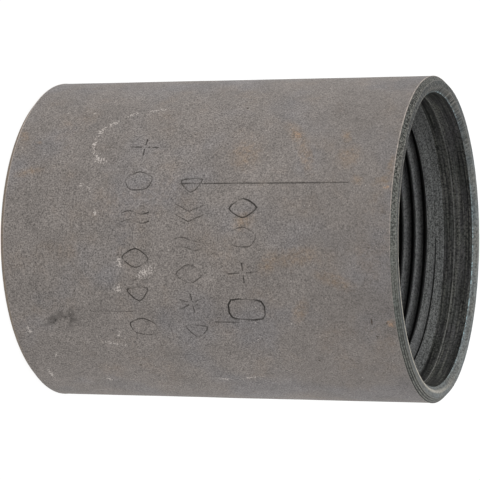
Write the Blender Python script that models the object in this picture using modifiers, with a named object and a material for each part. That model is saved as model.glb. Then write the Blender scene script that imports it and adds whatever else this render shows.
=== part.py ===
"""Rigid sleeve coupling for steel line pipe, nominal size 1-1/2 in.

A plain steel sleeve stands on its end with its axis on +Z and the centre of its
lower end at the origin. Both ends are alike: a 45 degree outer bevel, a narrow
bearing face, a short mouth chamfer, an unthreaded recess, a countersink, and a
right-hand pipe thread that narrows by 1 in 16 towards the middle of the sleeve,
where a narrow plain relief parts the two threads. The sleeve is one piece of
steel. All lengths are in metres.
"""
import math

import bmesh
import bpy
from mathutils import Euler, Matrix, Vector

# Driving dimensions
INCH = 0.0254
OUTSIDE_DIAMETER = 2.200 * INCH
LENGTH = 2.750 * INCH
RECESS_DIAMETER = 1.980 * INCH
RECESS_DEPTH = 0.00605          # from the end face to the top of the countersink
COUNTERSINK_DEPTH = 0.0084      # from the end face to where the thread crests begin
OUTER_BEVEL = 0.00085
MOUTH_CHAMFER = 0.00080

THREADS_PER_INCH = 11.5
PITCH_DIAMETER = 1.79609 * INCH  # measured at GAUGE_DEPTH
GAUGE_DEPTH = 0.00874
DIAMETER_TAPER = 1.0 / 16.0
THREAD_HEIGHT_IN_PITCHES = 0.760
CREST_FLAT_IN_PITCHES = 0.085
START_AZIMUTH = math.radians(84.0)   # where the upper thread runs out into its countersink
FADE_START_DEPTH = 0.0300       # the thread gets shallower from here
FADE_END_DEPTH = 0.0330         # and is gone here
RELIEF_RADIUS = 0.0213          # plain band between the two threads
RELIEF_WIDTH = 0.0032

SLEEVE_STEPS = 80               # sides of the turned surfaces
THREAD_STEPS = 40               # steps in one turn of the thread
PILOT_RADIUS = 0.0200           # bore before tapping, all of it cut away by the taps
MERGE_DISTANCE = 1e-6

# Sizes that follow from them
PITCH = INCH / THREADS_PER_INCH
THREAD_HEIGHT = THREAD_HEIGHT_IN_PITCHES * PITCH
CREST_FLAT = CREST_FLAT_IN_PITCHES * PITCH
OUTER_RADIUS = OUTSIDE_DIAMETER / 2
RECESS_RADIUS = RECESS_DIAMETER / 2
MOUTH_RADIUS = RECESS_RADIUS + MOUTH_CHAMFER
MIDDLE = LENGTH / 2


def crest_radius(depth):
    """Radius of the thread crests, the narrowest part of the bore, at a depth."""
    at_gauge = (PITCH_DIAMETER - THREAD_HEIGHT) / 2
    return at_gauge - (depth - GAUGE_DEPTH) * DIAMETER_TAPER / 2


def countersink_depth(radius):
    """Depth at which the countersink has the given radius."""
    slope = (COUNTERSINK_DEPTH - RECESS_DEPTH) / (RECESS_RADIUS - crest_radius(COUNTERSINK_DEPTH))
    return RECESS_DEPTH + (RECESS_RADIUS - radius) * slope


def thread_fade(depth):
    """1 where the thread has its full height, falling to 0 near the middle."""
    share = (FADE_END_DEPTH - depth) / (FADE_END_DEPTH - FADE_START_DEPTH)
    return min(1.0, max(0.0, share))


def clear_scene():
    for old in list(bpy.data.objects):
        bpy.data.objects.remove(old, do_unlink=True)


def new_collection(name):
    collection = bpy.data.collections.new(name)
    bpy.context.scene.collection.children.link(collection)
    return collection


def mill_scale_steel():
    """Dark warm-grey steel as it comes from the mill."""
    material = bpy.data.materials.new("mill_scale_steel")
    material.use_nodes = True
    shader = material.node_tree.nodes["Principled BSDF"]
    shader.inputs["Base Color"].default_value = (0.19, 0.17, 0.155, 1.0)
    shader.inputs["Roughness"].default_value = 0.6
    shader.inputs["Metallic"].default_value = 0.7
    return material


def swept_mesh(name, outline, closed, steps, turns=1, rise=0.0):
    """Mesh made by turning an outline of (radius, height) points about +Z.

    Each turn climbs by rise, so a rise makes a right-hand helix.
    """
    edges = [(i, i + 1) for i in range(len(outline) - 1)]
    if closed:
        edges.append((len(outline) - 1, 0))
    wire = bpy.data.meshes.new(name)
    wire.from_pydata([(radius, 0.0, height) for radius, height in outline], edges, [])
    turned = bpy.data.objects.new(name, wire)
    bpy.context.scene.collection.objects.link(turned)
    screw = turned.modifiers.new("Screw", "SCREW")
    screw.axis = "Z"
    screw.angle = 2 * math.pi
    screw.steps = steps
    screw.render_steps = steps
    screw.iterations = turns
    screw.screw_offset = rise
    screw.use_smooth_shade = True
    mesh = bpy.data.meshes.new_from_object(turned.evaluated_get(bpy.context.evaluated_depsgraph_get()))
    bpy.data.objects.remove(turned, do_unlink=True)
    return mesh


def sleeve_outline():
    """Half section of the sleeve before tapping, clockwise from the top outer corner."""
    pilot_depth = countersink_depth(PILOT_RADIUS)
    outer_side = [
        (OUTER_RADIUS, LENGTH - OUTER_BEVEL),
        (OUTER_RADIUS, OUTER_BEVEL),
    ]
    lower_end = [
        (OUTER_RADIUS - OUTER_BEVEL, 0.0),
        (MOUTH_RADIUS, 0.0),
        (RECESS_RADIUS, MOUTH_CHAMFER),
        (RECESS_RADIUS, RECESS_DEPTH),
        (PILOT_RADIUS, pilot_depth),
        (PILOT_RADIUS, MIDDLE - RELIEF_WIDTH / 2),
        (RELIEF_RADIUS, MIDDLE - RELIEF_WIDTH / 2),
    ]
    upper_end = [(radius, LENGTH - height) for radius, height in reversed(lower_end)]
    return outer_side + lower_end + upper_end


def make_sleeve(name, collection, material):
    mesh = swept_mesh(name, sleeve_outline(), closed=True, steps=SLEEVE_STEPS)
    mesh.name = name
    mesh.shade_smooth()
    mesh.set_sharp_from_angle(angle=math.radians(30.0))
    mesh.materials.append(material)
    sleeve = bpy.data.objects.new(name, mesh)
    collection.objects.link(sleeve)
    return sleeve


def close_end(bm, edges, centre):
    """Close a round opening with a fan of faces that meet on the axis."""
    made = bmesh.ops.extrude_edge_only(bm, edges=edges)["geom"]
    tips = [item for item in made if isinstance(item, bmesh.types.BMVert)]
    bmesh.ops.pointmerge(bm, verts=tips, merge_co=centre)


def tap_mesh():
    """Solid the shape of the upper bore: a helical V ridge on a tapered core."""
    flank_rise = (PITCH - CREST_FLAT) / 2
    ridge = [
        (0.0, 0.0),
        (0.0, CREST_FLAT),
        (THREAD_HEIGHT, CREST_FLAT + flank_rise),
        (0.0, PITCH),
    ]
    # The lower rim spans one pitch inside the relief, the upper rim is up in the recess.
    base = MIDDLE - PITCH / 2
    turns = math.ceil((LENGTH - RECESS_DEPTH - base) / PITCH)
    core_radius = crest_radius(0.0)
    outline = [(core_radius + proud, base + height) for proud, height in ridge]
    mesh = swept_mesh("tap", outline, closed=False, steps=THREAD_STEPS, turns=turns, rise=PITCH)

    # Turn it so that the ridge's tip crosses the countersink near the start azimuth, with
    # its own edges midway between the sleeve's.
    tip_radius = crest_radius(COUNTERSINK_DEPTH) + THREAD_HEIGHT
    tip_climb = LENGTH - countersink_depth(tip_radius) - (base + CREST_FLAT + flank_rise)
    wanted_turn = START_AZIMUTH - 2 * math.pi * tip_climb / PITCH
    side = 2 * math.pi / SLEEVE_STEPS
    mesh.transform(Matrix.Rotation((math.floor(wanted_turn / side) + 0.5) * side, 4, "Z"))

    bm = bmesh.new()
    bm.from_mesh(mesh)
    bmesh.ops.remove_doubles(bm, verts=bm.verts, dist=MERGE_DISTANCE)
    for vert in bm.verts:
        depth = LENGTH - vert.co.z
        proud = vert.co.xy.length - core_radius
        radius = crest_radius(depth) + proud * thread_fade(depth)
        vert.co.xy = vert.co.xy.normalized() * radius
    rim = [edge for edge in bm.edges if edge.is_boundary]
    lower_rim = [edge for edge in rim if edge.verts[0].co.z < MIDDLE + PITCH]
    upper_rim = [edge for edge in rim if edge.verts[0].co.z >= MIDDLE + PITCH]
    close_end(bm, lower_rim, Vector((0.0, 0.0, base)))
    close_end(bm, upper_rim, Vector((0.0, 0.0, base + (turns + 1) * PITCH)))
    bmesh.ops.triangulate(bm, faces=bm.faces)
    bmesh.ops.recalc_face_normals(bm, faces=bm.faces)
    bm.to_mesh(mesh)
    bm.free()
    return mesh


def cut_thread(sleeve, mesh, name, collection, flipped):
    """Cut one end's thread; the lower end's tap is the upper one turned over."""
    tap = bpy.data.objects.new(name, mesh)
    tap.display_type = "WIRE"
    tap.hide_render = True
    if flipped:
        tap.location = (0.0, 0.0, LENGTH)
        tap.rotation_euler = Euler((math.pi, 0.0, 0.0))
    collection.objects.link(tap)
    cut = sleeve.modifiers.new(name, "BOOLEAN")
    cut.operation = "DIFFERENCE"
    cut.solver = "EXACT"
    cut.object = tap


def main():
    clear_scene()
    parts = new_collection("rigid_sleeve_coupling")
    cutters = new_collection("taps")
    sleeve = make_sleeve("coupling_sleeve", parts, mill_scale_steel())
    tap = tap_mesh()
    cut_thread(sleeve, tap, "upper_tap", cutters, flipped=False)
    cut_thread(sleeve, tap, "lower_tap", cutters, flipped=True)


main()
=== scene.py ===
"""Looks of the rigid sleeve coupling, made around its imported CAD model.

One fine mesh stands for the CAD sleeve. It is a turned blank with machining marks,
cut by a pipe tap at each end, with inspection stamps and scribed lines in its outside.
The stamps are plain geometric signs. The sleeve stands on its lower end with its axis
on +Z. Azimuths run from the side that faces the camera (-Y) towards +X, and depths run
into the sleeve from the nearer end. Lengths are in metres, except in the lists of
coloured marks on the outside, which are in millimetres.
"""
import math

import bmesh
import bpy
from mathutils import Euler, Matrix, Quaternion, Vector, noise


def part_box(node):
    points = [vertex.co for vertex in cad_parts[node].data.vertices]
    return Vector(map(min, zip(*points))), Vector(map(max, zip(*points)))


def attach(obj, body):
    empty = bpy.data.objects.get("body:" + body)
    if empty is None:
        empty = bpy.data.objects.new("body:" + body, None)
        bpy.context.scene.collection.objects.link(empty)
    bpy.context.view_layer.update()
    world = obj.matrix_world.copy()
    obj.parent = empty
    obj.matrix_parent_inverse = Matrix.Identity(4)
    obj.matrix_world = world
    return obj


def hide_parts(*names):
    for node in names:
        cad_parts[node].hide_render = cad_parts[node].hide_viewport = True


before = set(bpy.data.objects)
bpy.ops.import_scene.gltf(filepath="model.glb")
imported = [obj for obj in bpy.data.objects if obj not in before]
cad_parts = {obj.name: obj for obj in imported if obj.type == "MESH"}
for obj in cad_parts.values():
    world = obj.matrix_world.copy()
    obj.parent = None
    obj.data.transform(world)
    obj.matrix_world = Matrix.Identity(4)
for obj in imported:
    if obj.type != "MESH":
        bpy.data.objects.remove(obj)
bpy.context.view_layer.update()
cad_low, cad_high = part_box("coupling_sleeve")

MM = 0.001

# Sizes from the frame
OUTER_RADIUS = (cad_high.x - cad_low.x) / 2
LENGTH = cad_high.z - cad_low.z
MIDDLE = LENGTH / 2

# The bore, as the CAD model has it
OUTER_BEVEL = 0.85 * MM
MOUTH_CHAMFER = 0.80 * MM
RECESS_RADIUS = 25.146 * MM
RECESS_DEPTH = 6.05 * MM
COUNTERSINK_DEPTH = 8.4 * MM
PITCH = 25.4 * MM / 11.5
PITCH_RADIUS = 22.81 * MM
GAUGE_DEPTH = 8.74 * MM
RADIUS_TAPER = 1 / 32
THREAD_HEIGHT = 0.760 * PITCH
CREST_FLAT = 0.085 * PITCH
ROOT_FLAT = 0.45 * CREST_FLAT
START_ANGLE = math.radians(84.0)     # from +X, where a thread runs out into its countersink
FADE_START_DEPTH = 30.0 * MM
FADE_END_DEPTH = 33.0 * MM
RELIEF_RADIUS = 21.3 * MM
RELIEF_WIDTH = 3.2 * MM
PILOT_RADIUS = 20.0 * MM
MOUTH_RADIUS = RECESS_RADIUS + MOUTH_CHAMFER

# How finely the sleeve is made
SLEEVE_STEPS = 288               # sides of the turned surfaces
THREAD_STEPS = 144               # steps in one turn of the thread
OUTSIDE_ROWS = 66                # rows of faces along the outside
THREAD_CORNER = 0.03 * PITCH     # rounding of the thread's edges
MERGE_DISTANCE = 0.001 * MM

# Machining marks: how many grooves each cut has, and how deep they are
BEVEL_MARKS = (3, 0.06 * MM)
FACE_MARKS = (4, 0.012 * MM)
CHAMFER_MARKS = (2, 0.012 * MM)
OUTER_RECESS_MARKS = (10, 0.012 * MM)
INNER_RECESS_MARKS = (5, 0.008 * MM)
CONE_MARKS = (8, 0.006 * MM)

# A thin raised line where the recess was turned in two passes
PASS_LINE_DEPTH = 4.15 * MM
PASS_LINE_WIDTH = 0.20 * MM
PASS_LINE_HEIGHT = 0.04 * MM

# The rolled outside stands in a little and is uneven; its edges carry a thin burr, painted bright with a
# highlight that is strongest on one side
OUTSIDE_SINK = 0.042 * MM
OUTSIDE_WAVES = ((14 * MM, 0.030 * MM), (4 * MM, 0.012 * MM))   # size, height
BURR_WIDTH = 0.16 * MM

# Dents in the ends, and the bright rim at both edges of the outer bevel, rubbed and painted with a
# highlight
DENT_SIZE = 0.9 * MM
DENT_DEPTH = 0.035 * MM
RIM_WIDTH = 0.14 * MM

# The camera: a long lens, rolled so that the sleeve lies across the picture
CAMERA_ELEVATION = math.radians(19.809)
CAMERA_ROLL = math.radians(90.119)
CAMERA_DISTANCE = 421.63 * MM
CAMERA_LENS = 179.81             # on Blender's 36 mm sensor
CAMERA_TARGET = Vector((0.162 * MM, 0.0, 33.49 * MM))

# Material slots of the sleeve, in this order
OUTSIDE, BEVEL, FACE, RECESS, CONE, THREAD = range(6)


def linear(level):
    """A display level, 0 to 255, as an amount of light from 0 to 1."""
    share = level / 255
    return share / 12.92 if share <= 0.04045 else ((share + 0.055) / 1.055) ** 2.4


def srgb(red, green, blue):
    """A display colour, 0 to 255, as the linear colour that a shader takes."""
    return (linear(red), linear(green), linear(blue), 1.0)


# ---------------------------------------------------------------- sleeve

def crest_radius(depth):
    """Radius of the thread crests, the narrowest part of the bore, at a depth."""
    return PITCH_RADIUS - THREAD_HEIGHT / 2 - (depth - GAUGE_DEPTH) * RADIUS_TAPER


def countersink_depth(radius):
    """Depth at which the countersink has the given radius."""
    slope = (COUNTERSINK_DEPTH - RECESS_DEPTH) / (RECESS_RADIUS - crest_radius(COUNTERSINK_DEPTH))
    return RECESS_DEPTH + (RECESS_RADIUS - radius) * slope


def thread_fade(depth):
    """1 where the thread has its full height, falling to 0 near the middle."""
    share = (FADE_END_DEPTH - depth) / (FADE_END_DEPTH - FADE_START_DEPTH)
    return min(1.0, max(0.0, share))


def swept_mesh(name, outline, closed, steps, turns=1, rise=0.0):
    """Mesh made by turning an outline of (radius, height) points about +Z.

    Each turn climbs by rise, so a rise makes a right-hand helix.
    """
    edges = [(i, i + 1) for i in range(len(outline) - 1)]
    if closed:
        edges.append((len(outline) - 1, 0))
    wire = bpy.data.meshes.new(name)
    wire.from_pydata([(radius, 0.0, height) for radius, height in outline], edges, [])
    turned = bpy.data.objects.new(name, wire)
    bpy.context.scene.collection.objects.link(turned)
    screw = turned.modifiers.new("Screw", "SCREW")
    screw.axis = "Z"
    screw.angle = 2 * math.pi
    screw.steps = steps
    screw.render_steps = steps
    screw.iterations = turns
    screw.screw_offset = rise
    screw.use_smooth_shade = True
    mesh = bpy.data.meshes.new_from_object(turned.evaluated_get(bpy.context.evaluated_depsgraph_get()))
    bpy.data.objects.remove(turned, do_unlink=True)
    return mesh


def turned_cut(start, end, marks):
    """Points along a straight cut, without its end, with shallow grooves left by the tool."""
    count, cut = marks
    start, end = Vector(start), Vector(end)
    step = (end - start) / (2 * count)
    into_steel = Vector((step.y, -step.x)).normalized() * cut
    points = []
    for i in range(2 * count):
        points.append(start + step * i + into_steel * (i % 2))
    return points


def blank_outline():
    """Half section of the untapped sleeve, clockwise from the top outer corner."""
    top_row = LENGTH - OUTER_BEVEL - BURR_WIDTH
    row = (top_row - OUTER_BEVEL - BURR_WIDTH) / OUTSIDE_ROWS
    outside = [Vector((OUTER_RADIUS, LENGTH - OUTER_BEVEL))]
    outside += [Vector((OUTER_RADIUS, top_row - row * i)) for i in range(OUTSIDE_ROWS + 1)]
    pilot_depth = countersink_depth(PILOT_RADIUS)
    face_start = (OUTER_RADIUS - OUTER_BEVEL, 0.0)
    line_start = (RECESS_RADIUS, PASS_LINE_DEPTH - PASS_LINE_WIDTH / 2)
    line_end = (RECESS_RADIUS, PASS_LINE_DEPTH + PASS_LINE_WIDTH / 2)
    lower_end = (
        turned_cut((OUTER_RADIUS, OUTER_BEVEL), face_start, BEVEL_MARKS)
        + turned_cut(face_start, (MOUTH_RADIUS, 0.0), FACE_MARKS)
        + turned_cut((MOUTH_RADIUS, 0.0), (RECESS_RADIUS, MOUTH_CHAMFER), CHAMFER_MARKS)
        + turned_cut((RECESS_RADIUS, MOUTH_CHAMFER), line_start, OUTER_RECESS_MARKS)
        + [Vector(line_start), Vector((RECESS_RADIUS - PASS_LINE_HEIGHT, PASS_LINE_DEPTH))]
        + turned_cut(line_end, (RECESS_RADIUS, RECESS_DEPTH), INNER_RECESS_MARKS)
        + turned_cut((RECESS_RADIUS, RECESS_DEPTH), (PILOT_RADIUS, pilot_depth), CONE_MARKS)
        + [
            Vector((PILOT_RADIUS, pilot_depth)),
            Vector((PILOT_RADIUS, MIDDLE - RELIEF_WIDTH / 2)),
            Vector((RELIEF_RADIUS, MIDDLE - RELIEF_WIDTH / 2)),
        ]
    )
    upper_end = [Vector((point.x, LENGTH - point.y)) for point in reversed(lower_end)]
    return outside + lower_end + upper_end[:-1]


def region_of(radius, depth):
    """Material slot of the blank's surface at a radius and a depth."""
    if depth > OUTER_BEVEL and radius > MOUTH_RADIUS:
        return OUTSIDE
    if radius > OUTER_RADIUS - OUTER_BEVEL:
        return BEVEL
    if depth < MOUTH_CHAMFER:
        return FACE
    if depth < RECESS_DEPTH:
        return RECESS
    if depth < countersink_depth(PILOT_RADIUS):
        return CONE
    return THREAD


def rolled_radius(place):
    """Radius of the rolled outside at a place."""
    radius = OUTER_RADIUS - OUTSIDE_SINK
    for size, wave in OUTSIDE_WAVES:
        radius += wave * noise.noise(place / size + Vector((7.0, 3.0, 5.0)))
    return radius


def worn_place(place):
    """Where a point of the smooth blank lies on the real one."""
    radius, depth = place.xy.length, min(place.z, LENGTH - place.z)
    on_outside = radius > OUTER_RADIUS - MERGE_DISTANCE
    if on_outside and depth > OUTER_BEVEL + MERGE_DISTANCE:
        out = place.xy.normalized() * rolled_radius(place)
        return Vector((out.x, out.y, place.z))
    if radius > RECESS_RADIUS and depth < MOUTH_CHAMFER and not on_outside:
        dent = DENT_DEPTH * max(0.0, noise.noise(place / DENT_SIZE))
        return place + Vector((0.0, 0.0, dent if place.z < MIDDLE else -dent))
    return place


def make_blank(materials):
    """The turned sleeve before it is tapped, with a material for each of its surfaces."""
    mesh = swept_mesh("blank", blank_outline(), closed=True, steps=SLEEVE_STEPS)
    for material in materials:
        mesh.materials.append(material)
    bm = bmesh.new()
    bm.from_mesh(mesh)
    for face in bm.faces:
        centre = face.calc_center_median()
        face.material_index = region_of(centre.xy.length, min(centre.z, LENGTH - centre.z))
    for vert in bm.verts:
        vert.co = worn_place(vert.co)
    bmesh.ops.triangulate(bm, faces=bm.faces)
    bm.to_mesh(mesh)
    bm.free()
    return mesh


def close_end(bm, edges, centre):
    """Close a round opening with a fan of faces that meet on the axis."""
    made = bmesh.ops.extrude_edge_only(bm, edges=edges)["geom"]
    tips = [item for item in made if isinstance(item, bmesh.types.BMVert)]
    bmesh.ops.pointmerge(bm, verts=tips, merge_co=centre)


def ridge_outline():
    """One pitch of the tap as (how proud, how far up) points: crest flat, flanks, rounded tip."""
    flank = (PITCH - CREST_FLAT - ROOT_FLAT) / 2
    tip_start = CREST_FLAT + flank
    tip_end = PITCH - flank
    corner = THREAD_CORNER / 2
    cut_back = THREAD_HEIGHT * corner / flank
    return [
        (0.0, corner),
        (0.0, CREST_FLAT - corner),
        (cut_back, CREST_FLAT + corner),
        (THREAD_HEIGHT - cut_back, tip_start - corner),
        (THREAD_HEIGHT, tip_start + corner / 2),
        (THREAD_HEIGHT, tip_end - corner / 2),
        (THREAD_HEIGHT - cut_back, tip_end + corner),
        (cut_back, PITCH - corner),
        (0.0, PITCH + corner),
    ]


def tap_turn(base):
    """Angle to turn a tap by, whose ridge starts at +X and a height of base.

    The ridge's tip then crosses the countersink near the start angle, with its own edges
    midway between the sleeve's.
    """
    tip_radius = crest_radius(COUNTERSINK_DEPTH) + THREAD_HEIGHT
    tip_height = base + (CREST_FLAT + PITCH) / 2
    tip_climb = LENGTH - countersink_depth(tip_radius) - tip_height
    wanted_turn = START_ANGLE - 2 * math.pi * tip_climb / PITCH
    side = 2 * math.pi / SLEEVE_STEPS
    return (math.floor(wanted_turn / side) + 0.5) * side


def tap_mesh(materials):
    """Solid the shape of the upper bore: a helical V ridge on a tapered core."""
    base = MIDDLE - PITCH / 2
    turns = math.ceil((LENGTH - RECESS_DEPTH - base) / PITCH)
    core_radius = crest_radius(0.0)
    outline = [(core_radius + proud, base + height) for proud, height in ridge_outline()]
    mesh = swept_mesh("tap", outline, closed=False, steps=THREAD_STEPS, turns=turns, rise=PITCH)
    mesh.transform(Matrix.Rotation(tap_turn(base), 4, "Z"))
    for material in materials:
        mesh.materials.append(material)
    bm = bmesh.new()
    bm.from_mesh(mesh)
    bmesh.ops.remove_doubles(bm, verts=bm.verts, dist=MERGE_DISTANCE)
    for vert in bm.verts:
        depth = LENGTH - vert.co.z
        proud = vert.co.xy.length - core_radius
        radius = crest_radius(depth) + proud * thread_fade(depth)
        vert.co.xy = vert.co.xy.normalized() * radius
    rim = [edge for edge in bm.edges if edge.is_boundary]
    lower_rim = [edge for edge in rim if edge.verts[0].co.z < MIDDLE + PITCH]
    upper_rim = [edge for edge in rim if edge.verts[0].co.z >= MIDDLE + PITCH]
    close_end(bm, lower_rim, Vector((0.0, 0.0, base)))
    close_end(bm, upper_rim, Vector((0.0, 0.0, base + (turns + 1) * PITCH)))
    bmesh.ops.triangulate(bm, faces=bm.faces)
    bmesh.ops.recalc_face_normals(bm, faces=bm.faces)
    for face in bm.faces:
        face.material_index = THREAD
    bm.to_mesh(mesh)
    bm.free()
    return mesh


# ---------------------------------------------------------------- stamps and scribed lines

STAMP_HALF_HEIGHT = 2.5 * MM     # along the sleeve's axis
STAMP_HALF_WIDTH = 1.7 * MM      # round the sleeve
STROKE_WIDTH = 0.30 * MM
STROKE_DEPTH = 0.15 * MM
LEAST_DEPTH = 0.04 * MM
STROKE_SEGMENT = 1.1 * MM        # longest straight run, so that strokes follow the curve
CORNER_SHARE = 0.3               # how much of a side a rounded corner takes
ROUNDED_REACH = 1.12             # a corner's distance out, as rounding takes its tip off
UNEVEN_STRIKE = 2.2 * MM         # size of the places where a stamp bit harder or less
CUTTER_PROUD = 0.15 * MM         # how far a cutter stands out of the steel


def rounded(corners):
    """A closed outline with each of its corners replaced by a short curve."""
    points = []
    for i, corner in enumerate(corners):
        start = corner.lerp(corners[i - 1], CORNER_SHARE)
        end = corner.lerp(corners[(i + 1) % len(corners)], CORNER_SHARE)
        for share in (0.0, 0.5, 1.0):
            points.append(start.lerp(corner, share).lerp(corner.lerp(end, share), share))
    return points


def regular_sign(count, turn):
    """Regular polygon that fills a stamp's own -1 to 1 square, as one closed stroke."""
    corners = []
    for i in range(count):
        angle = turn + 2 * math.pi * i / count
        corners.append(Vector((math.cos(angle), math.sin(angle))) * ROUNDED_REACH)
    return [(rounded(corners), True)]


def square_sign():
    """A square that is larger than the other signs, as one closed stroke."""
    corners = [Vector(corner) for corner in ((-1.25, -1.1), (1.25, -1.1), (1.25, 1.1), (-1.25, 1.1))]
    return [(rounded(corners), True)]


def rays_sign(count, turn, inner):
    """Straight strokes that spread from an open centre."""
    strokes = []
    for i in range(count):
        angle = turn + 2 * math.pi * i / count
        tip = Vector((math.cos(angle), math.sin(angle)))
        strokes.append(([tip * inner, tip], False))
    return strokes


def chevrons_sign():
    """Two chevrons, one above the other."""
    strokes = []
    for base in (-0.85, 0.15):
        chevron = [Vector((-1.0, base)), Vector((0.0, base + 0.7)), Vector((1.0, base))]
        strokes.append((chevron, False))
    return strokes


def waves_sign():
    """Two wavy strokes, one above the other."""
    steps = [i / 5 for i in range(-5, 6)]
    strokes = []
    for base in (-0.45, 0.45):
        wave = [Vector((step, base + 0.2 * math.sin(math.pi * step))) for step in steps]
        strokes.append((wave, False))
    return strokes


SIGNS = {
    "diamond": regular_sign(4, 0.0),
    "triangle": regular_sign(3, math.pi / 2),
    "pentagon": regular_sign(5, -math.pi / 2),
    "square": square_sign(),
    "cross": rays_sign(4, 0.0, 0.22),
    "star": rays_sign(6, math.pi / 6, 0.3),
    "chevrons": chevrons_sign(),
    "waves": waves_sign(),
}

# Each row: height of its middle, then for each stamp its sign, azimuth in degrees, how hard it
# was struck, and how far it is turned, in degrees.
STAMP_ROWS = [
    (43.8 * MM, [
        ("diamond", -10.5, 1.15, 2), ("pentagon", -0.5, 0.75, -3), ("cross", 11.5, 0.85, 4),
        ("square", 24.7, 1.5, -2),
    ]),
    (34.4 * MM, [
        ("triangle", -19.0, 0.85, 3), ("chevrons", -8.8, 0.8, -2), ("waves", 1.7, 0.90, 0),
        ("diamond", 12.0, 0.85, 2), ("star", 22.5, 0.8, 5), ("triangle", 33.0, 0.75, -3),
    ]),
    (24.9 * MM, [
        ("cross", -33.5, 1.05, -2), ("pentagon", -20.2, 0.85, 3), ("waves", -7.5, 0.85, 2),
        ("diamond", 6.6, 1.0, -3), ("triangle", 18.9, 0.95, 4), ("pentagon", 32.0, 0.95, -4),
    ]),
]

# Scribed lines along the axis: azimuth in degrees, lower and upper end, depth.
SCRIBED_LINES = [
    (-19.2, 32.6 * MM, 61.5 * MM, 0.13 * MM),
    (25.9, 15.7 * MM, 23.5 * MM, 0.09 * MM),
    (29.6, 37.9 * MM, 42.2 * MM, 0.10 * MM),
]
SCRIBE_WIDTH = 0.26 * MM


def on_outside(around, up, out=0.0):
    """Place on the rolled outside, or out from it, at a way round from azimuth 0 and a height."""
    azimuth = around / OUTER_RADIUS
    direction = Vector((math.sin(azimuth), -math.cos(azimuth), 0.0))
    smooth = direction * OUTER_RADIUS + Vector((0.0, 0.0, up))
    return direction * (rolled_radius(smooth) + out) + Vector((0.0, 0.0, up))


def split_stroke(points, closed):
    """The same stroke with no straight run longer than a segment."""
    ends = points[1:] + points[:1] if closed else points[1:]
    fine = []
    for start, end in zip(points, ends):
        parts = max(1, round((end - start).length / STROKE_SEGMENT))
        fine += [start.lerp(end, part / parts) for part in range(parts)]
    return fine if closed else fine + [points[-1]]


def across_stroke(points, closed, i):
    """Vector across a stroke at one of its points, up to twice as long in a corner.

    That way the stroke keeps its width round the corner.
    """
    count, point = len(points), points[i]
    before = points[i - 1] if closed or i > 0 else None
    after = points[(i + 1) % count] if closed or i < count - 1 else None
    into = (point - before).normalized() if before is not None else (after - point).normalized()
    out_of = (after - point).normalized() if after is not None else into
    normal_in, normal_out = Vector((-into.y, into.x)), Vector((-out_of.y, out_of.x))
    across = (normal_in + normal_out).normalized()
    return across / max(0.5, across.dot(normal_in))


def add_groove(bm, points, closed, width, depth):
    """A solid for cutting a V groove with a flat bottom along a stroke on the unrolled outside.

    Points are (around, up); the groove is as deep as asked in some places, shallower in others.
    """
    rings = []
    for i, point in enumerate(points):
        across = across_stroke(points, closed, i)
        bite = 0.75 + 0.75 * noise.noise(on_outside(*point) / UNEVEN_STRIKE)
        cut = max(LEAST_DEPTH, depth * min(1.0, bite))
        half_top = width / 2 * (1 + CUTTER_PROUD / cut)
        half_bottom = width / 8
        section = (
            (-half_top, CUTTER_PROUD),
            (-half_bottom, -cut),
            (half_bottom, -cut),
            (half_top, CUTTER_PROUD),
        )
        rings.append([bm.verts.new(on_outside(*(point + across * side), out)) for side, out in section])
    next_rings = rings[1:] + rings[:1] if closed else rings[1:]
    for ring, other in zip(rings, next_rings):
        for j in range(len(ring)):
            k = (j + 1) % len(ring)
            bm.faces.new((ring[j], ring[k], other[k], other[j]))
    if not closed:
        bm.faces.new(rings[0])
        bm.faces.new(list(reversed(rings[-1])))


def add_stamp(bm, sign, azimuth, height, strength, turn):
    """One stamp; a harder strike makes it both wider and deeper."""
    middle = Vector((math.radians(azimuth) * OUTER_RADIUS, height))
    rotation = Matrix.Rotation(math.radians(turn), 2)
    width = STROKE_WIDTH * (0.6 + 0.4 * strength)
    for shape, closed in SIGNS[sign]:
        points = []
        for point in shape:
            offset = Vector((point.y * STAMP_HALF_WIDTH, point.x * STAMP_HALF_HEIGHT))
            points.append(middle + rotation @ offset)
        add_groove(bm, split_stroke(points, closed), closed, width, STROKE_DEPTH * strength)


def add_stamps(bm):
    """Every stamp, as one cutter."""
    for height, stamps in STAMP_ROWS:
        for sign, azimuth, strength, turn in stamps:
            add_stamp(bm, sign, azimuth, height, strength, turn)


def add_scribed_lines(bm):
    """Every scribed line; a cutter of their own, as one of them crosses a stamp."""
    for azimuth, lower, upper, depth in SCRIBED_LINES:
        around = math.radians(azimuth) * OUTER_RADIUS
        line = split_stroke([Vector((around, lower)), Vector((around, upper))], closed=False)
        add_groove(bm, line, False, SCRIBE_WIDTH, depth)


def marks_mesh(name, add_marks, materials):
    """The cutter that add_marks makes."""
    bm = bmesh.new()
    add_marks(bm)
    bmesh.ops.triangulate(bm, faces=bm.faces)
    bmesh.ops.recalc_face_normals(bm, faces=bm.faces)
    mesh = bpy.data.meshes.new(name)
    for material in materials:
        mesh.materials.append(material)
    bm.to_mesh(mesh)
    bm.free()
    return mesh


# ---------------------------------------------------------------- putting the sleeve together

BAKE_GAP = 1.5 * MM              # between the bands of the baking layout
END_SECTION = 18 * MM            # length of an end's section, from the outside to the thread


def cut_with(sleeve, name, mesh, flipped=False):
    """Cut a mesh out of the sleeve; flipped turns it over for the other end."""
    cutter = bpy.data.objects.new(name, mesh)
    if flipped:
        cutter.location = (0.0, 0.0, LENGTH)
        cutter.rotation_euler = Euler((math.pi, 0.0, 0.0))
    bpy.context.scene.collection.objects.link(cutter)
    cut = sleeve.modifiers.new(name, "BOOLEAN")
    cut.operation = "DIFFERENCE"
    cut.solver = "EXACT"
    cut.material_mode = "INDEX"
    cut.object = cutter
    return cutter


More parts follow.
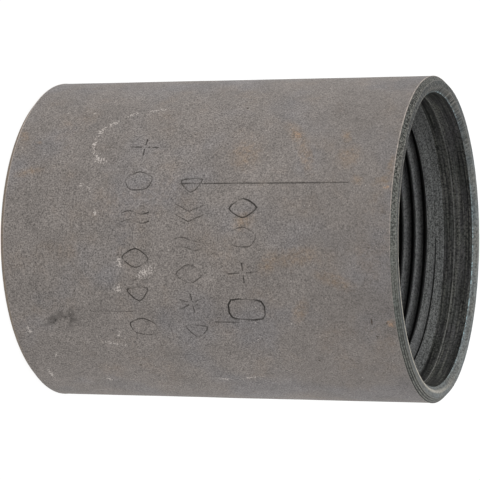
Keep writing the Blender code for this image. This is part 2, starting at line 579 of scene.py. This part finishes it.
def layout_height(place, slot):
    """How far up the baking layout a point is: the outside, the threads, then each end's section."""
    if slot == OUTSIDE:
        return place.z
    if slot == THREAD:
        return LENGTH + BAKE_GAP + place.z
    upper = place.z > MIDDLE
    band = 2 * (LENGTH + BAKE_GAP) + (END_SECTION + BAKE_GAP if upper else 0.0)
    along = OUTER_RADIUS - place.xy.length
    if slot != BEVEL:
        along += LENGTH - place.z if upper else place.z
    return band + along


def unroll(mesh):
    """UV layout for baking: once round the sleeve across, and a band for each surface."""
    layer = mesh.uv_layers.new(name="OFBake")
    total = 2 * (LENGTH + BAKE_GAP) + 2 * (END_SECTION + BAKE_GAP)
    azimuths = [math.atan2(vert.co.x, -vert.co.y) / (2 * math.pi) + 0.5 for vert in mesh.vertices]
    for polygon in mesh.polygons:
        first = azimuths[polygon.vertices[0]]
        for loop, index in zip(polygon.loop_indices, polygon.vertices):
            across = azimuths[index] - round(azimuths[index] - first)
            up = layout_height(mesh.vertices[index].co, polygon.material_index) / total
            layer.data[loop].uv = (across, up)


def make_sleeve(materials):
    """The whole sleeve as one mesh, cut and unrolled."""
    sleeve = bpy.data.objects.new("coupling_sleeve_steel", make_blank(materials))
    bpy.context.scene.collection.objects.link(sleeve)
    tap = tap_mesh(materials)
    cutters = [
        cut_with(sleeve, "stamps", marks_mesh("stamps", add_stamps, materials)),
        cut_with(sleeve, "scribed_lines", marks_mesh("scribed_lines", add_scribed_lines, materials)),
        cut_with(sleeve, "upper_tap", tap),
        cut_with(sleeve, "lower_tap", tap, flipped=True),
    ]
    mesh = bpy.data.meshes.new_from_object(sleeve.evaluated_get(bpy.context.evaluated_depsgraph_get()))
    sleeve.modifiers.clear()
    sleeve.data = mesh
    for cutter in cutters:
        bpy.data.objects.remove(cutter, do_unlink=True)
    mesh.shade_smooth()
    mesh.set_sharp_from_angle(angle=math.radians(30.0))
    unroll(mesh)
    return sleeve


# ---------------------------------------------------------------- materials

# Marks on the outside. Each has its azimuth in degrees, its height, half length and half width
# in millimetres, and how far its length is turned from the way round to the axis, in degrees.
WORN_SPOTS = [
    (-34.5, 15.5, 2.2, 0.7, 5), (-40.5, 16, 2, 0.8, 160),
    (-45, 18, 2.4, 0.8, 125), (-49, 20.5, 2, 0.7, 125),
    (-51.5, 24.5, 3.2, 0.4, 100), (-29, 17, 2.8, 1, 50),
    (-19, 14.5, 1, 0.4, 90), (-16.5, 16.5, 1.6, 0.3, 45),
    (-9, 17.5, 1.2, 0.4, 15), (8, 22, 1.8, 0.9, 0),
    (17, 21.5, 1.6, 1.2, 35), (11.5, 26.5, 3, 1.2, 120),
    (-51, 8.5, 0.8, 0.4, 90), (39.5, 18.5, 3.2, 0.5, 80),
    (35, 20, 1.4, 0.5, 170), (45.5, 7, 1.2, 0.5, 170),
    (56.5, 4, 3.2, 0.6, 0), (60.5, 14.5, 1.2, 0.6, 40),
    (58.5, 36, 2.2, 0.5, 75), (57.5, 40.5, 3, 0.4, 105),
    (34, 3.5, 1.2, 0.6, 5), (-50.5, 13.5, 0.8, 0.4, 90),
    (115, 40, 4.4, 0.6, 60), (150, 18, 2.4, 1, 20),
    (-120, 52, 4, 0.5, 125), (-150, 28, 2, 0.8, 80),
]
RUST_STAINS = [
    (-30, 43, 4, 3.5, 40), (-39, 51, 4, 1.5, 40),
    (-30, 53.5, 5, 1.5, 20), (-29, 61, 3, 2.5, 150),
    (-37, 60, 2, 1, 20), (-20, 67.5, 2.5, 1, 110),
    (-25, 68.5, 2.5, 1, 0), (-20, 63, 1.5, 1, 60),
    (29, 68.5, 1, 1, 30), (8, 48.5, 3, 2, 140),
    (6, 53, 5, 2, 100), (14, 59.5, 4.5, 1.5, 70),
    (25, 53, 3, 1.5, 150), (-6, 44, 2.5, 2, 110),
    (-24, 4.5, 3.5, 1, 100), (-39, 2, 2, 1, 30),
    (-36, 5, 1, 0.5, 70), (120, 60, 5, 2.5, 30),
    (165, 38, 6, 2.5, 80), (-110, 22, 4, 3, 140),
    (-145, 62, 4.5, 2, 20), (100, 8, 3.5, 1.5, 100),
]
FRESH_RUST = [
    (29.5, 68, 0.8, 0.6, 30), (-38, 51.5, 1, 0.6, 40),
    (-17.5, 68, 0.6, 0.4, 90), (140, 47, 0.8, 0.6, 50),
]
NICKS = [
    (29, 67.5, 0.2, 0.2, 30), (28.5, 65, 0.9, 0.2, 0),
    (34.5, 65.5, 0.3, 0.2, 90), (46, 54.5, 0.3, 0.2, 60),
    (-52, 41, 0.4, 0.2, 20), (50.5, 22, 0.3, 0.2, 110),
]
DARK_SMUDGES = [
    (29.5, 8.5, 2.5, 0.8, 130), (29, 12, 2.5, 0.8, 170),
    (28, 10.5, 1.5, 0.6, 75), (128, 30, 3, 1.6, 40),
    (-135, 12, 2.5, 1.8, 110),
]

BURR_HIGHLIGHT_COLOUR = srgb(186, 174, 166)

# Azimuths in degrees towards which the surfaces of an end have the most painted light, painted highlight
# or painted groove shade, or are most marked
BURR_HIGHLIGHT_AZIMUTH = -75.0
ROUGH_AZIMUTH = -62.0
BEVEL_PAINTED_LIGHT_AZIMUTH = 55.0
BEVEL_GROOVE_SHADE_AZIMUTH = 70.0
FACE_PAINTED_LIGHT_AZIMUTH = 140.0
LIP_HIGHLIGHT_AZIMUTH = 40.0
BEAD_HIGHLIGHT_AZIMUTH = 155.0
SHORT_BEAD_HIGHLIGHT_AZIMUTH = -90.0
RECESS_PAINTED_LIGHT_AZIMUTH = 180.0
RECESS_PAINTED_GLINT_AZIMUTH = -160.0
PASS_LINE_HIGHLIGHT_AZIMUTH = 90.0
CONE_PAINTED_LIGHT_AZIMUTH = 140.0


class Finish:
    """A Principled material, with short ways to add the nodes that the finishes share.

    An amount or a colour is a plain value or another node's output.
    """

    def __init__(self, name):
        """Starts a material, with outputs for a point's place, height, depth, radius and azimuth."""
        self.material = bpy.data.materials.new(name)
        self.material.use_nodes = True
        self.tree = self.material.node_tree
        self.surface = self.tree.nodes["Principled BSDF"]
        self.place = self.node("TexCoord", {}).outputs["Object"]
        x, y, self.height = self.node("SeparateXYZ", {0: self.place}).outputs
        self.azimuth = self.math("ARCTAN2", x, self.math("MULTIPLY", y, -1.0))
        flat = self.node("CombineXYZ", {0: x, 1: y, 2: 0.0}).outputs[0]
        self.radius = self.vector("LENGTH", flat, "Value")
        self.outward = self.vector("NORMALIZE", flat)
        self.depth = self.math("SUBTRACT", MIDDLE, self.apart(self.height, MIDDLE))

    def node(self, kind, inputs, **settings):
        """A new node with its inputs fed and its settings made."""
        made = self.tree.nodes.new("ShaderNode" + kind)
        for name, value in settings.items():
            setattr(made, name, value)
        for socket, value in inputs.items():
            self.feed(made.inputs[socket], value)
        return made

    def feed(self, socket, value):
        """Links an output to an input, or sets the input to a number."""
        if isinstance(value, bpy.types.NodeSocket):
            self.tree.links.new(value, socket)
        else:
            socket.default_value = value

    def vector(self, operation, first, result="Vector", second=(0.0, 0.0, 0.0)):
        """Result of a vector operation."""
        return self.node("VectorMath", {0: first, 1: second}, operation=operation).outputs[result]

    def math(self, operation, first, second=0.0):
        """Result of an operation on numbers."""
        return self.node("Math", {0: first, 1: second}, operation=operation).outputs[0]

    def apart(self, first, second):
        """How far apart two values are."""
        return self.math("ABSOLUTE", self.math("SUBTRACT", first, second))

    def product(self, *values):
        """All the values multiplied together."""
        result = values[0]
        for value in values[1:]:
            result = self.math("MULTIPLY", result, value)
        return result

    def ramp(self, value, low, high, start=0.0, end=1.0):
        """start below low and end above high, with a straight slope between."""
        inputs = {"Value": value, "From Min": low, "From Max": high, "To Min": start, "To Max": end}
        return self.node("MapRange", inputs).outputs[0]

    def graph(self, value, *points):
        """Straight lines through (value, result) points."""
        low, high = points[0][0], points[-1][0]
        made = self.node("ValToRGB", {0: self.ramp(value, low, high)})
        stops = made.color_ramp.elements
        for i, (place, result) in enumerate(points):
            stop = stops[i] if i < 2 else stops.new(1.0)
            stop.position = (place - low) / (high - low)
            stop.color = (result, result, result, 1.0)
        return made.outputs[0]

    def noise(self, size, detail, roughness=0.5, shift=0.0, kind="Fac"):
        """Noise from 0 to 1 whose patches are about size metres across."""
        place = self.vector("ADD", self.place, second=(shift, shift, shift))
        inputs = {"Vector": place, "Scale": 1 / size, "Detail": detail, "Roughness": roughness}
        return self.node("TexNoise", inputs).outputs[kind]

    def rings(self, size, shift=0.0):
        """Noise in thin rings about size metres apart, which change slowly on the way round."""
        slow = self.vector("SCALE", self.place)
        self.feed(slow.node.inputs["Scale"], 1 / (12 * MM))
        across = self.math("ADD", self.radius, self.math("MULTIPLY", self.height, 1.3))
        ring = self.math("ADD", self.math("DIVIDE", across, size), shift)
        inputs = {"Vector": slow, "W": ring, "Scale": 1.0, "Detail": 2.0, "Roughness": 0.6}
        return self.node("TexNoise", inputs, noise_dimensions="4D").outputs["Fac"]

    def rays(self, size, shift=0.0):
        """Noise in short dashes that run across the rings, about size metres apart."""
        around = self.math("MULTIPLY", self.azimuth, OUTER_RADIUS / size)
        across = self.math("DIVIDE", self.math("SUBTRACT", self.radius, self.height), 2 * size)
        dashes = self.node("CombineXYZ", {0: around, 1: across, 2: shift}).outputs[0]
        return self.node("TexNoise", {"Vector": dashes, "Scale": 1.0, "Detail": 2.0}).outputs["Fac"]

    def toward(self, degrees):
        """1 where the surface lies towards an azimuth, falling to -1 on the opposite side."""
        way = (math.sin(math.radians(degrees)), -math.cos(math.radians(degrees)), 0.0)
        return self.vector("DOT_PRODUCT", self.outward, "Value", way)

    def blend(self, amount, first, second):
        """Mix of two colours."""
        return self.node("Mix", {0: amount, 6: first, 7: second}, data_type="RGBA").outputs[2]

    def shaded(self, colour, amount):
        """The colour made lighter or darker by a factor."""
        return self.vector("MULTIPLY", colour, second=amount)

    def marks(self, places, ragged):
        """1 at the middle of any of these marks on the outside, falling to 0 at its edge.

        The edge is ragged by about the size given.
        """
        around = self.math("MULTIPLY", self.azimuth, OUTER_RADIUS)
        unrolled = self.node("CombineXYZ", {0: around, 1: self.height, 2: 0.0}).outputs[0]
        jitter = self.vector("SUBTRACT", self.noise(ragged, 2, kind="Color"), second=(0.5, 0.5, 0.5))
        jittered = {0: jitter, 1: (3 * ragged, 3 * ragged, 0.0), 2: unrolled}
        unrolled = self.node("VectorMath", jittered, operation="MULTIPLY_ADD").outputs[0]
        nearest = 1.0
        for azimuth, height, half_length, half_width, tilt in places:
            inputs = {
                "Vector": unrolled,
                "Location": (math.radians(azimuth) * OUTER_RADIUS, height * MM, 0.0),
                "Rotation": (0.0, 0.0, math.radians(tilt)),
                "Scale": (half_length * MM, half_width * MM, 1.0),
            }
            inside = self.node("Mapping", inputs, vector_type="TEXTURE").outputs[0]
            nearest = self.math("MINIMUM", self.vector("LENGTH", inside, "Value"), nearest)
        return self.ramp(nearest, 0.2, 1.0, 1.0, 0.0)

    def bump(self, height, distance):
        """Normal of a surface whose height goes up by distance where the value goes up by 1."""
        return self.node("Bump", {"Height": height, "Distance": distance, "Strength": 1.0}).outputs[0]

    def set(self, **inputs):
        """Feeds inputs of the Principled shader, named as in base_color."""
        for name, value in inputs.items():
            label = name.replace("_", " ").title().replace("Ior", "IOR")
            self.feed(self.surface.inputs[label], value)


def scale_colour(finish):
    """Warm grey that drifts a little towards green and blue."""
    warm, green, blue = srgb(117, 111, 107), srgb(116, 110, 106), srgb(114, 110, 109)
    colour = finish.blend(finish.ramp(finish.noise(14 * MM, 3), 0.42, 0.60), warm, green)
    return finish.blend(finish.ramp(finish.noise(11 * MM, 2, shift=0.3), 0.50, 0.66), colour, blue)


def rusted(finish, colour):
    """Adds old rust, in stains and scattered specks, and a little fresh rust."""
    stains = finish.marks(RUST_STAINS, 0.5 * MM)
    scattered = finish.ramp(finish.noise(7 * MM, 4, 0.6, shift=0.5), 0.52, 0.76, 0.0, 0.50)
    speckle = finish.ramp(finish.noise(0.9 * MM, 3, 0.7, shift=0.4), 0.32, 0.66, 0.15, 1.0)
    rust = finish.product(finish.math("MAXIMUM", stains, scattered), speckle)
    colour = finish.blend(finish.math("MULTIPLY", rust, 0.72), colour, srgb(128, 110, 92))
    fresh = finish.product(
        finish.ramp(finish.marks(FRESH_RUST, 0.2 * MM), 0.0, 0.5),
        finish.ramp(finish.noise(0.4 * MM, 2, shift=0.35), 0.40, 0.60, 0.1, 0.85))
    return finish.blend(fresh, colour, srgb(150, 126, 106))


def grained(finish, colour, fine):
    """Lightens and darkens the scale, in a fine grain and in wider patches, and darkens it towards the
    ends as painted shade.
    """
    contrast = finish.ramp(finish.height, 40 * MM, 60 * MM, 2.2, 1.65)
    grain = finish.math("ADD", finish.product(finish.math("SUBTRACT", fine, 0.5), contrast), 1.0)
    patches = finish.ramp(finish.noise(1.2 * MM, 3, 0.6, shift=0.6), 0.25, 0.75, 0.91, 1.09)
    broad = finish.ramp(finish.noise(6 * MM, 3, 0.55, shift=0.1), 0.25, 0.75, 0.88, 1.12)
    # painted shade: the scale is made darker towards both ends, most at the upper end
    along = finish.graph(finish.height, (0.0, 0.95), (25 * MM, 0.99), (45 * MM, 1.0), (LENGTH, 0.88))
    return finish.shaded(colour, finish.product(grain, patches, broad, along))


def dirtied_and_shaded(finish, colour, fine):
    """Adds dark smudges, pits and nicks, and painted shade that darkens the deep parts of the struck
    marks.
    """
    smudges = finish.product(
        finish.marks(DARK_SMUDGES, 0.8 * MM), finish.ramp(fine, 0.42, 0.58, 0.15, 1.0))
    colour = finish.blend(smudges, colour, srgb(56, 52, 49))
    pits = finish.ramp(finish.noise(0.45 * MM, 1, shift=0.7), 0.77, 0.81)
    nicks = finish.ramp(finish.marks(NICKS, 0.1 * MM), 0.1, 0.6)
    colour = finish.blend(finish.math("MAXIMUM", pits, nicks), colour, srgb(64, 56, 50))
    # painted shade: the deeper a point lies in a struck mark or scribed line, the darker it is painted
    sunk = finish.math("SUBTRACT", OUTER_RADIUS, finish.radius)
    struck = finish.ramp(sunk, 0.085 * MM, 0.17 * MM, 0.0, 0.85)
    return finish.blend(struck, colour, srgb(44, 41, 38))


def worn(finish, colour):
    """Adds bright dots, close together where the scale has been rubbed."""
    scattered = finish.ramp(finish.noise(9 * MM, 3, shift=0.8), 0.62, 0.82, 0.0, 0.22)
    rubbed = finish.math("MAXIMUM", finish.marks(WORN_SPOTS, 0.3 * MM), scattered)
    specks = finish.noise(0.26 * MM, 0, shift=0.9)
    dots = finish.math("ADD", specks, finish.math("MULTIPLY", rubbed, 0.36))
    return finish.blend(finish.ramp(dots, 0.79, 0.93, 0.0, 0.75), colour, srgb(186, 178, 172))


def burr_with_highlight(finish, near_edge):
    """Amount of bright burr, painted as a highlight that is strongest on one side, given how near the
    outer edge is: 1 on it, 0 away from it.
    """
    side = finish.ramp(finish.toward(BURR_HIGHLIGHT_AZIMUTH), 0.1, 0.8, 0.15, 1.0)
    broken = finish.ramp(finish.noise(1.1 * MM, 3, 0.6), 0.35, 0.55, 0.4, 1.0)
    return finish.product(near_edge, side, broken)


def mill_scale():
    """The rolled outside: grey scale that is rusty, dirty and worn in places, with painted shade in its
    struck marks and towards its ends, and a burr with a painted highlight at its edges.
    """
    finish = Finish("mill_scale_steel")
    fine = finish.noise(0.24 * MM, 1, 0.6, shift=0.2)
    colour = grained(finish, rusted(finish, scale_colour(finish)), fine)
    colour = worn(finish, dirtied_and_shaded(finish, colour, fine))
    # the burr at the outside's edges, with a painted highlight
    near_edge = finish.ramp(finish.depth, OUTER_BEVEL, OUTER_BEVEL + BURR_WIDTH, 1.0, 0.0)
    colour = finish.blend(burr_with_highlight(finish, near_edge), colour, BURR_HIGHLIGHT_COLOUR)
    relief = finish.math("ADD", fine, finish.noise(1.2 * MM, 3, 0.6, shift=0.6))
    finish.set(base_color=colour, roughness=finish.ramp(fine, 0.2, 0.8, 0.78, 0.62))
    finish.set(specular_ior_level=0.3, normal=finish.bump(relief, 0.03 * MM))
    return finish.material


def turned_steel(name, colour, tint, rings, spots):
    """A turned surface under a dark coat: the finish, its colour and its mottling.

    Rings are the tool marks and spots the mottling, each with a size and a contrast.
    """
    finish = Finish(name)
    (ring_size, ring_contrast), (spot_size, spot_contrast) = rings, spots
    ring, spot = finish.rings(ring_size), finish.noise(spot_size, 1, 0.6)
    tone = finish.blend(finish.ramp(finish.noise(6 * MM, 3), 0.35, 0.65), colour, tint)
    value = finish.product(
        finish.ramp(ring, 0.33, 0.67, 1 - ring_contrast, 1 + ring_contrast),
        finish.ramp(spot, 0.33, 0.67, 1 - spot_contrast, 1 + spot_contrast),
    )
    relief = finish.math("ADD", ring, spot)
    finish.set(roughness=finish.ramp(spot, 0.3, 0.7, 0.45, 0.65))
    finish.set(specular_ior_level=0.1, normal=finish.bump(relief, 0.04 * MM))
    return finish, finish.shaded(tone, value), spot


def roughened(finish, colour):
    """Adds the rough stretch of an end: dark pits and bright flecks in short dashes across it."""
    side = finish.ramp(finish.toward(ROUGH_AZIMUTH), 0.0, 0.8)
    dashes = finish.ramp(finish.rays(0.28 * MM), 0.38, 0.60, 0.20, 1.50)
    colour = finish.blend(side, colour, finish.shaded(colour, dashes))
    flecks = finish.product(side, finish.ramp(finish.rays(0.28 * MM, 5.0), 0.56, 0.66, 0.0, 0.65))
    return finish.blend(flecks, colour, srgb(150, 147, 140))


def bevel_groove_shade(finish, inward):
    """Amount of painted shade in the tool's grooves round the bevel, strongest on one side, at a way in
    from the outside.
    """
    groove_count = BEVEL_MARKS[0]
    angle = finish.math("MULTIPLY", inward, 2 * math.pi * groove_count / OUTER_BEVEL)
    return finish.product(
        finish.ramp(finish.math("COSINE", angle), 0.2, -0.4),
        finish.ramp(finish.toward(BEVEL_GROOVE_SHADE_AZIMUTH), 0.45, 0.95, 0.10, 1.0),
        finish.ramp(finish.noise(5 * MM, 2), 0.35, 0.55, 0.6, 1.0),
    )


def bevel_steel():
    """The outer bevel: painted light on one side, painted shade in the grooves, a rubbed inner edge and
    a burr with painted highlights, and scale on the lower end's.
    """
    finish, colour, spot = turned_steel(
        "bevel_steel", srgb(74, 74, 70), srgb(69, 71, 68), (0.40 * MM, 0.16), (0.36 * MM, 0.45))
    # painted light: the bevel is made lighter towards one side
    painted_light = finish.ramp(finish.toward(BEVEL_PAINTED_LIGHT_AZIMUTH), 0.0, 0.90, 0.95, 1.90)
    colour = roughened(finish, finish.shaded(colour, painted_light))
    inward = finish.math("SUBTRACT", OUTER_RADIUS, finish.radius)
    # painted shade in the tool's grooves
    colour = finish.blend(bevel_groove_shade(finish, inward), colour, srgb(24, 26, 26))
    # the rubbed inner edge, painted as a bright highlight line
    rim = finish.ramp(inward, OUTER_BEVEL - RIM_WIDTH, OUTER_BEVEL, 0.0, 0.3)
    colour = finish.blend(rim, colour, srgb(140, 138, 132))
    lower_end = finish.ramp(finish.height, MIDDLE, MIDDLE - MM)
    scale = finish.product(lower_end, finish.ramp(spot, 0.3, 0.5, 0.4, 0.95))
    colour = finish.blend(scale, colour, srgb(124, 112, 100))
    # the burr on the bevel's outer edge, with a painted highlight
    near_edge = finish.ramp(inward, 0.0, RIM_WIDTH, 1.0, 0.0)
    colour = finish.blend(burr_with_highlight(finish, near_edge), colour, BURR_HIGHLIGHT_COLOUR)
    finish.set(base_color=colour)
    return finish.material


def rubbed_lip_highlight(finish, spot):
    """Amount of rubbing and painted highlight on the edge between the face and the mouth chamfer,
    strongest on one side.
    """
    return finish.product(
        finish.ramp(finish.apart(finish.radius, MOUTH_RADIUS), 0.10 * MM, 0.40 * MM, 1.0, 0.0),
        finish.ramp(finish.toward(LIP_HIGHLIGHT_AZIMUTH), 0.30, 0.95, 0.10, 1.0),
        finish.ramp(spot, 0.3, 0.6, 0.5, 1.0),
    )


def bead_highlight(finish):
    """Amount of the broken bright bead, a painted highlight, on the edge between the mouth chamfer and
    the recess.
    """
    long_side = finish.ramp(finish.toward(BEAD_HIGHLIGHT_AZIMUTH), 0.55, 0.95, 0.12, 0.95)
    short_side = finish.ramp(finish.toward(SHORT_BEAD_HIGHLIGHT_AZIMUTH), 0.75, 0.95, 0.0, 0.8)
    return finish.product(
        finish.ramp(finish.radius, RECESS_RADIUS + 0.08 * MM, RECESS_RADIUS + 0.22 * MM, 1.0, 0.0),
        finish.ramp(finish.noise(0.42 * MM, 1, 0.7), 0.50, 0.62, 0.10, 1.0),
        finish.math("MAXIMUM", long_side, short_side),
    )


def face_steel():
    """The bearing face and the mouth chamfer: painted light that makes one side lighter, and rubbed
    edges with painted highlights.
    """
    finish, colour, spot = turned_steel(
        "face_steel", srgb(74, 75, 73), srgb(68, 72, 73), (0.50 * MM, 0.20), (0.40 * MM, 0.45))
    # painted light: the face and chamfer are made lighter towards one side
    painted_light = finish.graph(
        finish.toward(FACE_PAINTED_LIGHT_AZIMUTH), (-0.8, 0.58), (-0.4, 0.82), (-0.1, 1.25), (0.5, 1.95))
    colour = roughened(finish, finish.shaded(colour, painted_light))
    # painted highlights on the rubbed lip and on the bead at the recess's edge
    colour = finish.blend(rubbed_lip_highlight(finish, spot), colour, srgb(184, 178, 166))
    colour = finish.blend(bead_highlight(finish), colour, srgb(156, 178, 184))
    finish.set(base_color=colour)
    return finish.material


def pass_line_highlight(finish, spot):
    """Amount of the fine line where the recess's two passes met, painted bright as a highlight that
    changes round the sleeve.
    """
    from_line = finish.apart(finish.depth, PASS_LINE_DEPTH)
    return finish.product(
        finish.ramp(from_line, 0.04 * MM, PASS_LINE_WIDTH / 2, 1.0, 0.0),
        finish.graph(
            finish.toward(PASS_LINE_HIGHLIGHT_AZIMUTH), (-1.0, 0.60), (-0.6, 0.35), (0.0, 0.45), (0.8, 0.75)),
        finish.ramp(spot, 0.3, 0.5, 0.5, 1.0),
    )


def recess_steel():
    """The recess: dark, with painted light on one side and a painted glint, strong tool marks, and a
    fine line where two passes met, painted as a highlight.
    """
    finish, colour, spot = turned_steel(
        "recess_steel", srgb(57, 58, 56), srgb(56, 55, 56), (0.42 * MM, 0.68), (0.36 * MM, 0.45))
    share = finish.graph(
        finish.depth, (MOUTH_CHAMFER, 0.66), (1.8 * MM, 0.60), (2.6 * MM, 0.80), (3.4 * MM, 1.0),
        (PASS_LINE_DEPTH, 0.95), (4.6 * MM, 0.75), (5.5 * MM, 0.68), (RECESS_DEPTH, 0.80))
    # painted light on one side of the recess, and a painted glint
    painted_light = finish.product(
        finish.ramp(finish.toward(RECESS_PAINTED_LIGHT_AZIMUTH), 0.1, 0.75, 1.06, 1.60),
        finish.ramp(finish.toward(RECESS_PAINTED_GLINT_AZIMUTH), 0.75, 0.95, 1.0, 1.10))
    colour = finish.shaded(colour, finish.product(share, painted_light))
    streaks = finish.ramp(finish.rings(0.40 * MM, shift=7.0), 0.52, 0.60)
    streaks = finish.product(streaks, finish.ramp(spot, 0.35, 0.6), share, 0.55)
    colour = finish.blend(streaks, colour, srgb(122, 122, 114))
    # the line where the passes met, painted as a highlight
    colour = finish.blend(pass_line_highlight(finish, spot), colour, srgb(138, 138, 134))
    finish.set(base_color=colour)
    return finish.material


def cone_steel():
    """The countersink: a coarse speckle, with painted shade that makes it darker on one side."""
    finish, colour, _ = turned_steel(
        "cone_steel", srgb(69, 70, 69), srgb(65, 66, 66), (0.50 * MM, 0.28), (0.30 * MM, 0.68))
    # painted shade: the countersink is made darker on one side
    painted_light = finish.graph(
        finish.toward(CONE_PAINTED_LIGHT_AZIMUTH), (-0.4, 0.95), (0.2, 1.50), (0.75, 1.63), (1.0, 1.78))
    finish.set(base_color=finish.shaded(colour, painted_light))
    return finish.material


def bore_radii(finish):
    """Radius of the thread crests, and of the open bore, which is wider in the countersink."""
    slope = (RECESS_RADIUS - crest_radius(COUNTERSINK_DEPTH)) / (COUNTERSINK_DEPTH - RECESS_DEPTH)
    cone = finish.math(
        "ADD", finish.math("MULTIPLY", finish.depth, -slope), RECESS_RADIUS + slope * RECESS_DEPTH)
    crest = finish.math("ADD", finish.math("MULTIPLY", finish.depth, -RADIUS_TAPER), crest_radius(0.0))
    return crest, finish.math("MAXIMUM", crest, cone)


def thread_steel():
    """The threads: light crests, and painted shade that deepens towards the roots."""
    finish, colour, _ = turned_steel(
        "thread_steel", srgb(110, 111, 110), srgb(102, 103, 104), (0.45 * MM, 0.12), (0.36 * MM, 0.45))
    crest, opening = bore_radii(finish)
    # painted shade: darker the deeper a point lies below the bore's opening
    groove_shade = finish.graph(
        finish.math("SUBTRACT", finish.radius, opening),
        (0.0, 1.0), (0.25 * THREAD_HEIGHT, 0.75), (0.6 * THREAD_HEIGHT, 0.38), (THREAD_HEIGHT, 0.20))
    # painted shade: darkest at the thread roots
    to_root = finish.math("SUBTRACT", finish.math("ADD", crest, THREAD_HEIGHT), finish.radius)
    root = finish.ramp(to_root, 0.12 * MM, 0.30 * MM, 0.10, 1.0)
    run_in = finish.ramp(
        finish.depth, COUNTERSINK_DEPTH - 1.2 * MM, COUNTERSINK_DEPTH + 0.4 * MM, 0.55, 1.0)
    finish.set(base_color=finish.shaded(colour, finish.product(groove_shade, root, run_in)))
    return finish.material


# ---------------------------------------------------------------- floor, light and camera

def make_floor():
    """A wide white floor, which glows so that the backdrop stays white behind the sleeve."""
    mesh = bpy.data.meshes.new("floor")
    bm = bmesh.new()
    bmesh.ops.create_circle(bm, cap_ends=True, segments=64, radius=6.0)
    bm.to_mesh(mesh)
    bm.free()
    floor = bpy.data.objects.new("floor", mesh)
    bpy.context.scene.collection.objects.link(floor)
    finish = Finish("pale_floor")
    finish.set(base_color=(0.12, 0.12, 0.12, 1.0), roughness=1.0, specular_ior_level=0.0)
    finish.set(emission_color=(1.0, 1.0, 1.0, 1.0), emission_strength=0.93)
    mesh.materials.append(finish.material)


def make_light():
    """White light from all round, and a soft lamp up on the left of the camera."""
    world = bpy.data.worlds.new("studio")
    world.use_nodes = True
    background = world.node_tree.nodes["Background"]
    background.inputs["Color"].default_value = (1.0, 1.0, 1.0, 1.0)
    background.inputs["Strength"].default_value = 1.0
    bpy.context.scene.world = world
    data = bpy.data.lights.new("softbox", "AREA")
    data.shape = "DISK"
    data.size = 0.5
    data.energy = 1.2
    softbox = bpy.data.objects.new("softbox", data)
    softbox.location = (-0.55, -0.25, 0.30)
    aim = Vector((0.0, 0.0, MIDDLE)) - softbox.location
    softbox.rotation_euler = aim.to_track_quat("-Z", "Y").to_euler()
    bpy.context.scene.collection.objects.link(softbox)


def make_camera():
    """The camera, which looks down a little at the sleeve from -Y."""
    data = bpy.data.cameras.new("camera")
    data.lens = CAMERA_LENS
    data.clip_start = 0.01
    camera = bpy.data.objects.new("camera", data)
    bpy.context.scene.collection.objects.link(camera)
    forward = Vector((0.0, math.cos(CAMERA_ELEVATION), -math.sin(CAMERA_ELEVATION)))
    camera.rotation_mode = "QUATERNION"
    camera.rotation_quaternion = forward.to_track_quat("-Z", "Y") @ Quaternion((0, 0, 1), CAMERA_ROLL)
    camera.location = CAMERA_TARGET - forward * CAMERA_DISTANCE
    bpy.context.scene.camera = camera


def main():
    """Makes the sleeve and the stage around it."""
    materials = [mill_scale(), bevel_steel(), face_steel(), recess_steel(), cone_steel(), thread_steel()]
    sleeve = make_sleeve(materials)
    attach(sleeve, "root")
    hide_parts("coupling_sleeve")
    make_floor()
    make_light()
    make_camera()
    bpy.context.scene.view_settings.view_transform = "Standard"


main()
